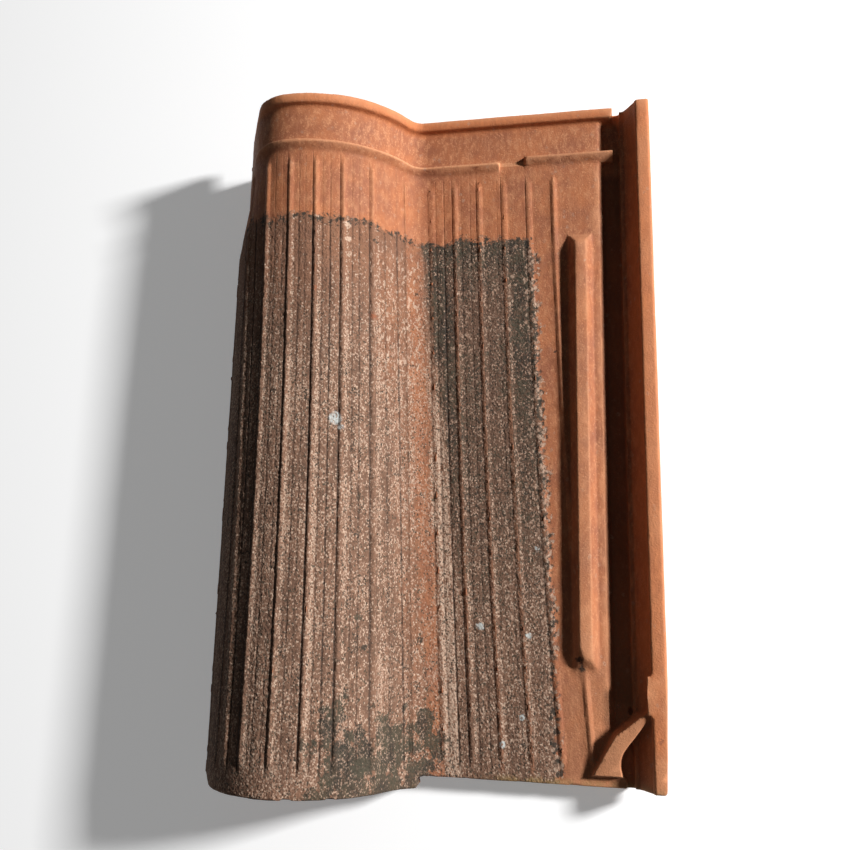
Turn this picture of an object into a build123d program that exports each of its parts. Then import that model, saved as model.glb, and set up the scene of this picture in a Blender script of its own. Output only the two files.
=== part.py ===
from build123d import *
import math
import os

# One pressed and fired interlocking roof tile, in millimetres.
# X runs from the roll's left edge to the side lock, Y from the tail up to the head, Z is up.
# Y = 0 is the tail edge of the pan, and Z = 0 is the underside of the pan.

# Whole tile
tile_length = 430.0
tile_width = 281.0
head_lap = 85.0
pan_thickness = 12.0
wall_thickness = 12.0

# Roll at the tail end
tail_overhang = 6.0
tail_left = 0.0
tail_crest_x = 61.2
tail_crest_z = 73.0
tail_crown_radius = 66.0
tail_foot_x = 157.7
tail_step_inset = 22.0

# Roll at the head end
head_left = -4.6
head_crest_x = 46.7
head_crest_z = 60.0
head_crown_radius = 80.0
head_foot_x = 129.7

# The roll's left flank, which stands in where the next tile up covers it
flank_slope = 63.0
edge_clearance = 1.0
lap_inset = 5.5
lap_inset_run = 37.0
lap_cover = 10.0

# Ribs down the face
rib_radius = 2.6
rib_height = 1.2
rib_sides = 8
rib_pitch_tail = 17.55
rib_pitch_middle = 16.6
rib_pitch_head = 16.8
rib_inset_tail = 45.8
rib_inset_middle = 44.1
rib_inset_head = 37.1
edge_rib_inset_tail = 34.6
edge_rib_inset_middle = 29.8
edge_rib_inset_head = 21.2
rib_tail_gap = 4.0
rib_fade = 9.0
rib_spans = 3

# Head lock: a lip on the head edge and a weather rib below it
lip_rise = 5.8
lip_width = 6.2
lip_foot = 1.5
weather_rise = 4.5
weather_crest_gap = 35.0
weather_foot = 5.0
weather_top = 1.5
weather_back = 1.5
weather_step = 3.0
weather_gap_inset = 33.0
weather_gap_width = 17.0
head_lock_reach = 10.0

# Side lock, set out from the tile's right edge: outer rail, water channel and inner rib
rail_rise = 13.0
rail_width = 9.9
rail_flank_width = 9.4
rail_shoulder = 3.0
rail_round = 2.2
rail_block_width = 12.0
rail_block_y = 64.0
rail_taper = 2.1
rail_taper_y = 62.0
channel_width = 10.0
channel_depth = 4.0
channel_side = 4.0
inner_rib_gap = 4.0
inner_rib_width = 12.0
inner_rib_top = 7.5
inner_rib_flank = 5.5
inner_rib_rise = 7.0
inner_rib_fall = 0.8
inner_rib_round = 2.0
inner_rib_tail = 63.0
inner_rib_slope = 9.0

# Dam that turns the water out of the channel at the tail
dam_rail_y = 54.0
dam_rail_width = 12.0
dam_turn_y = 31.5
dam_low_turn_y = 16.0
dam_width = 6.0
dam_foot_y = 5.0
dam_foot_reach = 12.9
dam_foot_width = 22.9
dam_bend = 12.0
dam_low_rise = 3.0
dam_draft = 12.0

# Underside
drip_depth = 4.0
drip_width = 14.0
lock_clearance = 1.5
nib_drop = 14.0
nib_length = 16.0
nib_width = 30.0
nib_head_gap = 12.0
nib_right_inset = 26.7
nib_left_inset = 8.0
nib_left_top = 24.0
nib_left_shoulder = 8.0

# Worked out from the values above
gauge = tile_length - head_lap
rail_inner_x = tile_width - rail_width
rail_top_z = pan_thickness + rail_rise
channel_floor_z = pan_thickness - channel_depth
channel_floor_right = rail_inner_x - rail_flank_width
channel_floor_left = channel_floor_right - channel_width
channel_left = channel_floor_left - channel_side
inner_rib_x = channel_left - inner_rib_gap - inner_rib_width
head_lock_right = channel_left + head_lock_reach
weather_gap_x = inner_rib_x - weather_gap_inset - weather_gap_width
rail_middle_x = tile_width - rail_width / 2
dam_turn_x = channel_floor_left - dam_width / 2
dam_low_rail_y = dam_rail_y - dam_rail_width
dam_foot_x = channel_left - dam_foot_reach
dam_foot_right = dam_foot_x + dam_foot_width
nib_right_x = inner_rib_x - nib_right_inset
rail_flank_run = rail_flank_width / (rail_top_z - rail_shoulder - channel_floor_z)
seat_height = pan_thickness + drip_depth
notch_left = channel_floor_right + rail_flank_run * (seat_height - channel_floor_z) - lock_clearance
notch_top = rail_top_z - seat_height + lock_clearance
lap_start = gauge - lap_cover
lap_end = lap_start + lap_inset_run
lip_y = tile_length - lip_width
weather_y = tile_length - weather_crest_gap
recess_y = weather_y - weather_foot - gauge - lock_clearance
recess_top = lip_rise + lock_clearance - drip_depth
rib_head_y = weather_y - weather_foot
rib_tail_y = rib_tail_gap + rib_fade
rib_full_y = rib_head_y - rib_fade
rib_room = inner_rib_x + inner_rib_width - tail_left - rib_inset_tail
rib_count = int(rib_room / rib_pitch_tail) + 1
nib_y = tile_length - nib_head_gap - nib_length
rest_pitch = math.degrees(math.atan((nib_drop - drip_depth) / (nib_y + nib_length / 2)))
embed = 1.0
sunk = -0.5
cut_over = 5.0


class RollSection:
    """The roll's arcs on the cross-section at y, with its crest raised by rise."""

    def __init__(self, y, rise=0.0):
        share = (y + tail_overhang) / (tile_length + tail_overhang)
        inset_share = min(max((y - lap_start) / lap_inset_run, 0), 1)
        self.side_x = tail_left + (head_left - tail_left) * share
        self.left = self.side_x + lap_inset * inset_share
        self.edge_z = pan_thickness + edge_clearance
        crest_x = tail_crest_x + (head_crest_x - tail_crest_x) * share
        crest_z = tail_crest_z + (head_crest_z - tail_crest_z) * share
        crown_radius = tail_crown_radius + (head_crown_radius - tail_crown_radius) * share
        foot_x = tail_foot_x + (head_foot_x - tail_foot_x) * share

        # The crown and the foot are tangent arcs from the crest to the flat pan
        run = foot_x - crest_x
        drop = crest_z - pan_thickness
        both_radii = (run**2 + drop**2) / (2 * drop)
        self.turn = math.degrees(math.asin(run / both_radii))
        self.crown_centre = (crest_x, crest_z - crown_radius)
        self.crown_radius = crown_radius + rise
        self.foot_centre = (foot_x, pan_thickness + both_radii - crown_radius)
        self.foot_radius = both_radii - crown_radius - rise

        # The left arc is tangent to the crest and to the straight flank
        flank = math.radians(flank_slope)
        flank_run = (crest_z + rise - self.edge_z) / math.tan(flank)
        self.left_radius = (crest_x - self.left - flank_run) / math.tan(flank / 2)
        self.left_centre = (crest_x, crest_z + rise - self.left_radius)

    def face_point(self, x):
        """Height of the face at x, and how far its normal leans from upright, in degrees."""
        turn_x = self.crown_centre[0] + self.crown_radius * math.sin(math.radians(self.turn))
        if x >= self.foot_centre[0]:
            return pan_thickness, 0.0
        if x > turn_x:
            lean = math.asin((self.foot_centre[0] - x) / self.foot_radius)
            return self.foot_centre[1] - self.foot_radius * math.cos(lean), math.degrees(lean)
        if x > self.crown_centre[0]:
            lean = math.asin((x - self.crown_centre[0]) / self.crown_radius)
            return self.crown_centre[1] + self.crown_radius * math.cos(lean), math.degrees(lean)
        lean = math.asin((self.left_centre[0] - x) / self.left_radius)
        return self.left_centre[1] + self.left_radius * math.cos(lean), -math.degrees(lean)


def tile_section(y, rise=0.0, depth=wall_thickness, right=tile_width):
    """Closed cross-section at y: the face raised by rise, and depth of clay under it."""
    roll = RollSection(y, rise)
    turn = roll.turn
    flank_width = (depth + rise) / math.sin(math.radians(flank_slope))
    with BuildSketch(Plane.XZ.offset(-y)) as section:
        with BuildLine():
            left = CenterArc(roll.left_centre, roll.left_radius, 90, flank_slope)
            CenterArc(roll.crown_centre, roll.crown_radius, 90, -turn)
            foot = CenterArc(roll.foot_centre, roll.foot_radius, 270 - turn, turn)
            Polyline(
                foot @ 1,
                (right, pan_thickness + rise),
                (right, pan_thickness - depth),
                (roll.foot_centre[0], pan_thickness - depth),
            )
            CenterArc(roll.foot_centre, roll.foot_radius + rise + depth, 270 - turn, turn)
            CenterArc(roll.crown_centre, roll.crown_radius - rise - depth, 90, -turn)
            under_left = CenterArc(roll.left_centre, roll.left_radius - rise - depth, 90, flank_slope)
            Polyline(
                under_left @ 1,
                (roll.left + flank_width, roll.edge_z),
                (roll.left, roll.edge_z),
                left @ 1,
            )
        make_face()
    return section.sketch


def rib_section(x, y, height):
    """Round section of a face rib that stands height above the face."""
    face_z, lean = RollSection(y).face_point(x)
    sink = rib_radius - height
    centre_x = x - sink * math.sin(math.radians(lean))
    centre_z = face_z - sink * math.cos(math.radians(lean))
    with BuildSketch(Plane.XZ.offset(-y)) as section:
        with Locations((centre_x, centre_z)):
            RegularPolygon(rib_radius, rib_sides, rotation=90 - lean)
    return section.sketch


def along_ribs(y, tail, middle, head):
    """Value at y of the smooth curve through its values at the ribs' tail, middle and head."""
    share = (y - rib_tail_y) / (rib_full_y - rib_tail_y)
    ends = tail * (1 - share) * (1 - 2 * share) + head * share * (2 * share - 1)
    return ends + middle * 4 * share * (1 - share)


def face_rib(tail_inset, middle_inset, head_inset, index=0):
    """Sections of one face rib, bowed a little in plan, that fades out at both ends."""
    stations = [(rib_tail_gap, sunk)]
    for span in range(rib_spans + 1):
        stations.append((rib_tail_y + (lap_start - rib_tail_y) * span / rib_spans, rib_height))
    stations += [(lap_end, rib_height), (rib_full_y, rib_height), (rib_head_y, sunk)]
    sections = []
    for y, height in stations:
        inset = along_ribs(y, tail_inset, middle_inset, head_inset)
        pitch = along_ribs(y, rib_pitch_tail, rib_pitch_middle, rib_pitch_head)
        sections.append(rib_section(RollSection(y).side_x + inset + index * pitch, y, height))
    return sections


# The plate with its roll
with BuildPart() as plate:
    plate_stations = (-tail_overhang, lap_start, lap_end, tile_length)
    loft(sections=[tile_section(y) for y in plate_stations], ruled=True)
    # The pan's tail edge stands back from the roll's
    with BuildSketch():
        with Locations((tail_foot_x - tail_step_inset, 0)):
            Rectangle(tile_width, 2 * tail_overhang, align=(Align.MIN, Align.MAX))
    extrude(amount=2 * pan_thickness + cut_over, both=True, mode=Mode.SUBTRACT)

# Ribs down the face, evenly pitched and closer together at the head
with BuildPart() as face_ribs:
    loft(
        sections=face_rib(edge_rib_inset_tail, edge_rib_inset_middle, edge_rib_inset_head),
        ruled=True,
    )
    for index in range(rib_count):
        loft(sections=face_rib(rib_inset_tail, rib_inset_middle, rib_inset_head, index), ruled=True)

# Lip on the head edge, which follows the roll
with BuildPart() as head_lip:
    lip_stations = ((lip_y - lip_foot, sunk), (lip_y, lip_rise), (tile_length, lip_rise))
    loft(
        sections=[tile_section(y, rise, wall_thickness / 2, head_lock_right) for y, rise in lip_stations],
        ruled=True,
    )


def weather_rib(crest_y):
    """Sections of the weather rib across the tile: a slope up to its flat top, and a steep back."""
    stations = (
        (crest_y - weather_foot, sunk),
        (crest_y, weather_rise),
        (crest_y + weather_top, weather_rise),
        (crest_y + weather_top + weather_back, sunk),
    )
    return [tile_section(y, rise, wall_thickness / 2, head_lock_right) for y, rise in stations]


# Weather rib in two lengths, the right one nearer the head, with a gap between them
with BuildPart() as weather_left:
    loft(sections=weather_rib(weather_y), ruled=True)
    split(bisect_by=Plane.YZ.offset(weather_gap_x), keep=Keep.BOTTOM)

with BuildPart() as weather_right:
    loft(sections=weather_rib(weather_y + weather_step), ruled=True)
    split(bisect_by=Plane.YZ.offset(weather_gap_x + weather_gap_width), keep=Keep.TOP)

# Water channel beside the rail, open at both ends
with BuildPart() as channel:
    with BuildSketch(Plane.XZ.offset(-tile_length - cut_over)):
        with BuildLine():
            Polyline(
                (channel_left, pan_thickness + cut_over),
                (channel_left, pan_thickness),
                (channel_floor_left, channel_floor_z),
                (channel_floor_right, channel_floor_z),
                (channel_floor_right, pan_thickness + cut_over),
                close=True,
            )
        make_face()
    extrude(amount=tile_length + 2 * cut_over)

# Outer rail, whose inner flank leans into the channel
with BuildPart() as rail:
    with BuildSketch(Plane.XZ.offset(-tile_length)):
        with BuildLine():
            Polyline(
                (channel_floor_right - rail_flank_run * embed, channel_floor_z - embed),
                (rail_inner_x, rail_top_z - rail_shoulder),
                (rail_inner_x, rail_top_z),
                (tile_width, rail_top_z),
                (tile_width, channel_floor_z - embed),
                close=True,
            )
        rail_face = make_face()
        fillet(rail_face.vertices().group_by(Axis.Y)[-1], rail_round)
    extrude(amount=tile_length)
    # Thicker block that the dam springs from
    with BuildSketch(Plane.XY.offset(channel_floor_z - embed)):
        with Locations((tile_width - embed, dam_low_rail_y)):
            Rectangle(rail_block_width - embed, rail_block_y - dam_low_rail_y, align=(Align.MAX, Align.MIN))
    extrude(amount=rail_top_z - channel_floor_z + embed)

# Wedge off the rail's outer face, which tapers in towards the tail
with BuildPart() as rail_wedge:
    with BuildSketch(Plane.XY.offset(-cut_over)):
        with BuildLine():
            Polyline(
                (tile_width, rail_taper_y),
                (tile_width - rail_taper, 0),
                (tile_width - rail_taper, -cut_over),
                (tile_width + cut_over, -cut_over),
                (tile_width + cut_over, rail_taper_y),
                close=True,
            )
        make_face()
    extrude(amount=rail_top_z + 2 * cut_over)

# Inner rib with two leaning flanks, cut to a slope at both ends
with BuildPart() as inner_rib:
    with BuildSketch(Plane.XZ.offset(-tile_length)):
        with BuildLine():
            Polyline(
                (inner_rib_x - inner_rib_flank, pan_thickness - embed),
                (inner_rib_x, pan_thickness + inner_rib_rise),
                (inner_rib_x + inner_rib_top, pan_thickness + inner_rib_rise - inner_rib_fall),
                (inner_rib_x + inner_rib_width, pan_thickness - embed),
                close=True,
            )
        rib_face = make_face()
        fillet(rib_face.vertices().sort_by(Axis.Y)[-2:], inner_rib_round)
    extrude(amount=tile_length)
    with BuildSketch(Plane.YZ.offset(inner_rib_x - inner_rib_flank - cut_over)):
        with BuildLine():
            Polyline(
                (inner_rib_tail, pan_thickness - embed),
                (inner_rib_tail + inner_rib_slope, pan_thickness + inner_rib_rise),
                (gauge - lock_clearance - inner_rib_slope, pan_thickness + inner_rib_rise),
                (gauge - lock_clearance, pan_thickness - embed),
                close=True,
            )
        make_face()
    extrude(amount=inner_rib_flank + inner_rib_width + 2 * cut_over, mode=Mode.INTERSECT)

# Dam from the rail across the channel to the tail, lower and wider towards its foot
with BuildPart() as dam:
    with BuildSketch(Plane.XY.offset(channel_floor_z - embed)):
        with BuildLine():
            upper_side = FilletPolyline(
                (rail_middle_x, dam_rail_y),
                (dam_turn_x, dam_turn_y),
                (dam_foot_x, dam_foot_y),
                radius=dam_bend,
            )
            lower_side = FilletPolyline(
                (rail_middle_x, dam_low_rail_y),
                (dam_turn_x + dam_width, dam_low_turn_y),
                (dam_foot_right, dam_foot_y),
                radius=dam_bend,
            )
            Line(upper_side @ 0, lower_side @ 0)
            Line(upper_side @ 1, lower_side @ 1)
        make_face()
    extrude(amount=rail_top_z - channel_floor_z, taper=dam_draft)
    dam_lean = math.degrees(math.atan((rail_rise - dam_low_rise) / dam_rail_y))
    split(
        bisect_by=Plane((0, 0, pan_thickness + dam_low_rise)).rotated((dam_lean, 0, 0)),
        keep=Keep.BOTTOM,
    )
    # Flange that closes the channel at the tail edge, under the dam's foot
    with BuildSketch(Plane.XY.offset(channel_floor_z - embed)):
        with Locations((channel_left - embed, 0)):
            flange_width = dam_foot_right - channel_left + embed
            Rectangle(flange_width, dam_foot_y + embed, align=(Align.MIN, Align.MIN))
    extrude(amount=pan_thickness - channel_floor_z + embed)

# Drip under the pan's tail edge, and the two nibs that hang on the batten
with BuildPart() as underside:
    with BuildSketch(Plane.XY.offset(embed)):
        with Locations((tail_foot_x, 0)):
            Rectangle(notch_left - tail_foot_x, drip_width, align=(Align.MIN, Align.MIN))
    extrude(amount=-embed - drip_depth - cut_over)
    with BuildSketch(Plane.XY.offset(embed)):
        with Locations((nib_right_x, nib_y)):
            Rectangle(nib_width, nib_length, align=(Align.MIN, Align.MIN))
    extrude(amount=-embed - nib_drop - cut_over)
    # The left nib hangs inside the roll, and slopes back above the wall's lower edge
    with BuildSketch(Plane.YZ.offset(RollSection(nib_y).left + nib_left_inset)):
        with BuildLine():
            Polyline(
                (nib_y, -nib_drop - cut_over),
                (nib_y, pan_thickness - embed),
                (nib_y + nib_left_shoulder, nib_left_top),
                (nib_y + nib_length, nib_left_top),
                (nib_y + nib_length, -nib_drop - cut_over),
                close=True,
            )
        make_face()
    extrude(amount=nib_width)

# Recess and notch in the tail's underside, which clear the head lock and rail of the tile below
with BuildPart() as lap_recess:
    with BuildSketch(Plane.XY.offset(-cut_over)):
        with Locations((head_foot_x - cut_over, recess_y)):
            Rectangle(notch_left - head_foot_x, head_lap + lock_clearance - recess_y, align=(Align.MIN, Align.MIN))
    extrude(amount=cut_over + recess_top)
    with BuildSketch(Plane.XZ.offset(cut_over)):
        with BuildLine():
            Polyline(
                (notch_left - rail_flank_run * cut_over, -cut_over),
                (notch_left + rail_flank_run * notch_top, notch_top),
                (tile_width + cut_over, notch_top),
                (tile_width + cut_over, -cut_over),
                close=True,
            )
        make_face()
    extrude(amount=-cut_over - head_lap - lock_clearance)

# The tile rests on its nibs and its drip, so their feet are cut to one plane and it is laid level
with BuildPart() as tile:
    add(plate)
    add(face_ribs)
    add(channel, mode=Mode.SUBTRACT)
    add(rail)
    add(inner_rib)
    add(dam)
    add(rail_wedge, mode=Mode.SUBTRACT)
    add(head_lip)
    add(weather_left)
    add(weather_right)
    add(underside)
    add(lap_recess, mode=Mode.SUBTRACT)
    split(bisect_by=Plane((0, 0, -drip_depth)).rotated((-rest_pitch, 0, 0)), keep=Keep.TOP)

laid_tile = tile.part.rotate(Axis.X, rest_pitch)
middle = laid_tile.bounding_box().center()
rest_lift = drip_depth * math.cos(math.radians(rest_pitch))
with BuildPart() as roof_tile:
    with Locations((-middle.X, -middle.Y, rest_lift)):
        add(laid_tile)

os.makedirs("parts", exist_ok=True)
roof_tile.part.label = "roof_tile"
export_step(roof_tile.part, "parts/roof_tile.step")
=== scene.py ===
# One old interlocking clay roof tile: chipped and worn edges, a ribbed face with soot, lichen and
# black growth where the rain fell, and clean clay where the neighbouring tiles covered it.
import math

import bpy
import numpy as np
from bpy.props import FloatProperty, FloatVectorProperty, IntProperty, PointerProperty
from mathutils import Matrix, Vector


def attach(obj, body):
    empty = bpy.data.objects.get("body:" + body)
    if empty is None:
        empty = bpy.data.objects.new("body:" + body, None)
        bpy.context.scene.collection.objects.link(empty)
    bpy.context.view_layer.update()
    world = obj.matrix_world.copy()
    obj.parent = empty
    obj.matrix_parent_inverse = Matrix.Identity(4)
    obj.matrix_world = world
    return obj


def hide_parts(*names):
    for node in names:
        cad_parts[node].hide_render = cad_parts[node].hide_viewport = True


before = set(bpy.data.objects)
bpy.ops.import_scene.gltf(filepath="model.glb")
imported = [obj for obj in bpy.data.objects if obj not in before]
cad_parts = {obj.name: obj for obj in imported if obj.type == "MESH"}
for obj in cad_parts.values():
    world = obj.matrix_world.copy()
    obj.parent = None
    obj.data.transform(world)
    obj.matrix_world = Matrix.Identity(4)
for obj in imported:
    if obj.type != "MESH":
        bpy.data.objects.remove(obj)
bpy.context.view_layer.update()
TILE_NODE = "roof_tile"
MM = 0.001

# The tile's own drawing, in millimetres, starts at the roll's left edge, the pan's tail and its underside.
# On the floor it lies moved by this much and turned 1.4 degrees, head up.
DRAWING_X = -138.70
DRAWING_Y = -211.05
DRAWING_Z = 4.0
LAID_TURN = math.radians(1.397)

# Ribs on the drawing: where they start and how far they run, and at their tail, middle and head the
# first rib's distance from the roll's left edge and the pitch
RIB_TAIL_Y = 13.0
RIB_RUN = 368.0
RIB_INSETS = (45.8, 44.1, 37.1)
RIB_PITCHES = (17.55, 16.6, 16.8)
PITCH = 16.8
LAST_RIB = 10.6

# The roll's left edge leans outwards towards the head, from where its tail ends
SIDE_LEAN = 4.6 / 436
ROLL_OVERHANG = 6

# Crest of the weather rib across the head
WEATHER_RIB_Y = 395.8

# Where the next tile up and the next tile to the right end on this one, which they keep clean
HEAD_LINE_Y = 342.0
HEAD_FADE = (346, 336)
SIDE_LINE_X = 219.5
SIDE_FADE_X = 216
SIDE_LINE_LEAN = 0.047

# The water channel's middle and half width, and where the head lip and the rail start
CHANNEL_X = 255.5
CHANNEL_REACH = 5.5
LIP_Y = (418.0, 424.0)
RAIL_X = (264.0, 270.0)

# Height part of a normal: how the face turns up out of the sides, and below what the clay stayed dry
FACE_TURN = (0.1, 0.45)
COVERED_BELOW = -0.35

# In millimetres: half width of a fine line, how far left of its rib's top a foot lies, half width of a top
LINE_WIDTH = 0.5
FOOT_OFFSET = 2.0
CREST_WIDTH = 1.7

# Sizes of the two kinds of grain, in millimetres, and how far a second layer of them is moved
GRAIN_SIZES = (("Mask", 0.85), ("Coarse Mask", 1.9))
SECOND_LAYER = (31.0, 17.0, 5.0)

# The floor's width in metres, its colour, and how much it glows where it is seen
FLOOR_SIZE = 12
FLOOR_COLOUR = (0.85, 0.85, 0.85)
FLOOR_GLOW = 0.25
SENSOR_WIDTH = 36

# Fine lines between the ribs: how many pitches from the first rib, and how deep as a share of the deepest
FINE_LINES = (
    (-0.53, 0.9),
    (0.36, 0.5),
    (0.69, 0.4),
    (1.35, 0.55),
    (1.59, 0.4),
    (2.24, 0.5),
    (2.52, 0.9),
    (3.30, 0.5),
    (3.53, 0.65),
    (4.37, 0.45),
    (4.74, 0.9),
    (6.20, 0.45),
    (6.53, 1.0),
    (7.25, 0.45),
    (7.61, 0.5),
    (8.71, 0.3),
)

# Ribs that rain or handling wore lower: which rib from the left, and by how many millimetres
WORN_RIBS = ((5, 0.75), (6, 0.85), (7, 0.25), (8, 0.35), (9, 0.5), (10, 0.45))

bl_info = {
    "name": "Weathered Clay Roof Tile",
    "version": (1, 0, 0),
    "blender": (4, 5, 0),
    "location": "3D View > Sidebar > Roof Tile",
    "description": "Models and finishes one old interlocking clay roof tile",
    "category": "Object",
}


class BodySettings(bpy.types.PropertyGroup):
    """Sizes of the tile's surface."""

    grain: FloatProperty(
        name="Surface Grain",
        description="Width of the faces that carry the tile's surface",
        default=0.55 * MM,
        unit="LENGTH",
    )
    grain_stretch: FloatProperty(
        name="Grain Stretch",
        description="How much longer than wide those faces are, along the ribs",
        default=2.6,
    )
    face_wear: FloatProperty(
        name="Face Wear",
        description="How far the tile's faces stand in, so that worn clay stays inside its box",
        default=0.12 * MM,
        unit="LENGTH",
    )
    corner_wear: FloatProperty(
        name="Corner Wear",
        description="How far the sharp edges have worn back",
        default=0.65 * MM,
        unit="LENGTH",
    )
    combing: FloatProperty(
        name="Combing",
        description="Depth of the deepest fine line that the die drew between the ribs",
        default=0.45 * MM,
        unit="LENGTH",
    )
    rib_foot: FloatProperty(
        name="Rib Foot",
        description="Depth of the groove at each rib's left foot",
        default=0.45 * MM,
        unit="LENGTH",
    )
    soft_rounds: IntProperty(
        name="Soft Rounds",
        description="How many times the hollow behind the head lip and the inner rib's ends are smoothed",
        default=44,
    )
    pitting: FloatProperty(
        name="Pitting",
        description="Depth of the frost pits in the face",
        default=0.32 * MM,
        unit="LENGTH",
    )
    unevenness: FloatProperty(
        name="Unevenness",
        description="How far the pressed clay is out of true all over",
        default=0.3 * MM,
        unit="LENGTH",
    )
    triangle_limit: IntProperty(
        name="Triangle Limit",
        description="Most triangles that the finished tile may have",
        default=192000,
    )


class ClaySettings(bpy.types.PropertyGroup):
    """Colours of the fired clay, of what grows on it, and of the painted shade and highlights."""

    clean: FloatVectorProperty(
        name="Clean Clay",
        description="Colour of clay that the next tile kept clean",
        subtype="COLOR",
        default=(0.40, 0.134, 0.050),
    )
    # Painted highlight: the bright, more orange colour laid on the head lip and the rail top
    rubbed_and_highlight: FloatVectorProperty(
        name="Rubbed Clay And Highlight",
        description="Colour of the bright clay on the head lip and the rail",
        subtype="COLOR",
        default=(0.58, 0.180, 0.058),
    )
    # Painted shade: the dark colour laid in the water channel, where the rail's shadow falls
    channel: FloatVectorProperty(
        name="Channel Painted Shade",
        description="Colour of the dirt that water left in the channel",
        subtype="COLOR",
        default=(0.12, 0.034, 0.012),
    )
    edge: FloatVectorProperty(
        name="Worn Edge",
        description="Colour of the pale clay on worn edges",
        subtype="COLOR",
        default=(0.60, 0.27, 0.13),
    )
    pale: FloatVectorProperty(
        name="Pale Clay",
        description="Colour of the paler streaks in clean clay",
        subtype="COLOR",
        default=(0.52, 0.225, 0.105),
    )
    fired: FloatVectorProperty(
        name="Hard-fired Clay",
        description="Colour of the darker blotches in clean clay",
        subtype="COLOR",
        default=(0.27, 0.088, 0.038),
    )
    weathered: FloatVectorProperty(
        name="Weathered Clay",
        description="Colour of clay that stood in the rain",
        subtype="COLOR",
        default=(0.112, 0.058, 0.035),
    )
    washed: FloatVectorProperty(
        name="Washed Clay",
        description="Colour of weathered clay where rain has washed it paler",
        subtype="COLOR",
        default=(0.225, 0.116, 0.070),
    )
    soot: FloatVectorProperty(
        name="Soot",
        description="Colour of the black growth and soot",
        subtype="COLOR",
        default=(0.024, 0.020, 0.013),
    )
    # Dirt and painted shade: the dark colour in the ribs' feet and in the fine grooves
    crevice_dirt_and_shade: FloatVectorProperty(
        name="Crevice Dirt And Shade",
        description="Colour of the dirt at the ribs' feet and in the fine lines",
        subtype="COLOR",
        default=(0.012, 0.006, 0.004),
    )
    algae: FloatVectorProperty(
        name="Algae",
        description="Colour of the dark green growth",
        subtype="COLOR",
        default=(0.050, 0.042, 0.025),
    )
    lichen: FloatVectorProperty(
        name="Lichen",
        description="Colour of the pale grains of lichen and bare grit",
        subtype="COLOR",
        default=(0.53, 0.375, 0.275),
    )
    crust: FloatVectorProperty(
        name="Lichen Crust",
        description="Colour of the grey-white lichen",
        subtype="COLOR",
        default=(0.44, 0.46, 0.44),
    )
    moss: FloatVectorProperty(
        name="Moss",
        description="Colour of the moss on the tail edge",
        subtype="COLOR",
        default=(0.27, 0.17, 0.06),
    )


class StudioSettings(bpy.types.PropertyGroup):
    """Camera and lights."""

    camera_place: FloatVectorProperty(
        name="Camera Place",
        description="Where the camera stands",
        subtype="TRANSLATION",
        default=(98.16 * MM, -121.90 * MM, 541.72 * MM),
    )
    camera_turn: FloatVectorProperty(
        name="Camera Turn",
        description="Tilt, lean and turn of the camera",
        subtype="EULER",
        default=(math.radians(13.617), math.radians(10.745), math.radians(1.748)),
    )
    lens: FloatProperty(
        name="Lens",
        description="Focal length in millimetres on a 36 mm sensor",
        default=35.42,
    )
    key_place: FloatVectorProperty(
        name="Key Light Place",
        description="Where the key light hangs: low on the right, as afternoon light",
        subtype="TRANSLATION",
        default=(2.10, 0.64, 1.19),
    )
    key_size: FloatProperty(
        name="Key Light Size",
        description="Width of the key light",
        default=0.3,
        unit="LENGTH",
    )
    key_strength: FloatProperty(
        name="Key Light",
        description="Power of the key light in watts",
        default=118.0,
    )
    sky_strength: FloatProperty(
        name="Sky",
        description="Strength of the even light from all round",
        default=0.06,
    )


def deselect_all():
    """Leaves object mode with nothing selected."""
    if bpy.context.object and bpy.context.object.mode != "OBJECT":
        bpy.ops.object.mode_set(mode="OBJECT")
    bpy.ops.object.select_all(action="DESELECT")


def make_active(piece):
    """Selects one object alone."""
    deselect_all()
    piece.select_set(True)
    bpy.context.view_layer.objects.active = piece


def apply_modifier(piece, kind, **values):
    """Adds one modifier to the piece and applies it."""
    make_active(piece)
    modifier = piece.modifiers.new(kind.title(), kind)
    for name, value in values.items():
        setattr(modifier, name, value)
    bpy.ops.object.modifier_apply(modifier=modifier.name)


def drawing_point(x, y, z):
    """A place on the tile's drawing, in millimetres, as a point of the frame."""
    laid_y = y * math.cos(LAID_TURN) - z * math.sin(LAID_TURN) + DRAWING_Y
    laid_z = y * math.sin(LAID_TURN) + z * math.cos(LAID_TURN) + DRAWING_Z
    return Vector((x + DRAWING_X, laid_y, laid_z)) * MM


def triangle_count(mesh):
    """Triangles that the mesh's faces make."""
    return sum(len(face.vertices) - 2 for face in mesh.polygons)


def cloud_texture(name, size, contrast=1.0):
    """Soft noise for relief, with lumps of the given size."""
    texture = bpy.data.textures.new(name, "CLOUDS")
    texture.noise_scale = size
    texture.noise_depth = 2
    texture.contrast = contrast
    return texture


def read_vertices(mesh, attribute):
    """The mesh's vertex places or normals as an array of rows."""
    values = np.empty(len(mesh.vertices) * 3)
    mesh.vertices.foreach_get(attribute, values)
    return values.reshape(-1, 3)


def fade(values, low, high):
    """Smooth step of an array from 0 at low to 1 at high."""
    share = np.clip((values - low) / (high - low), 0, 1)
    return share * share * (3 - 2 * share)


def bell(distances, width):
    """One where the distance is 0, falling off evenly to either side."""
    return np.exp(-((distances / width) ** 2))


def along_ribs(y, stations):
    """Value at y of the smooth curve through the ribs' tail, middle and head values."""
    tail, middle, head = stations
    share = (y - RIB_TAIL_Y) / RIB_RUN
    ends = tail * (1 - share) * (1 - 2 * share) + head * share * (2 * share - 1)
    return ends + middle * 4 * share * (1 - share)


def rib_place(points):
    """How many pitches each point lies to the right of the first rib, and its place on the drawing."""
    x = points[:, 0] / MM - DRAWING_X
    y = (points[:, 1] / MM - DRAWING_Y + points[:, 2] / MM * math.sin(LAID_TURN)) / math.cos(LAID_TURN)
    start = along_ribs(y, RIB_INSETS) - SIDE_LEAN * (y + ROLL_OVERHANG)
    return (x - start) / along_ribs(y, RIB_PITCHES), x, y


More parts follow.
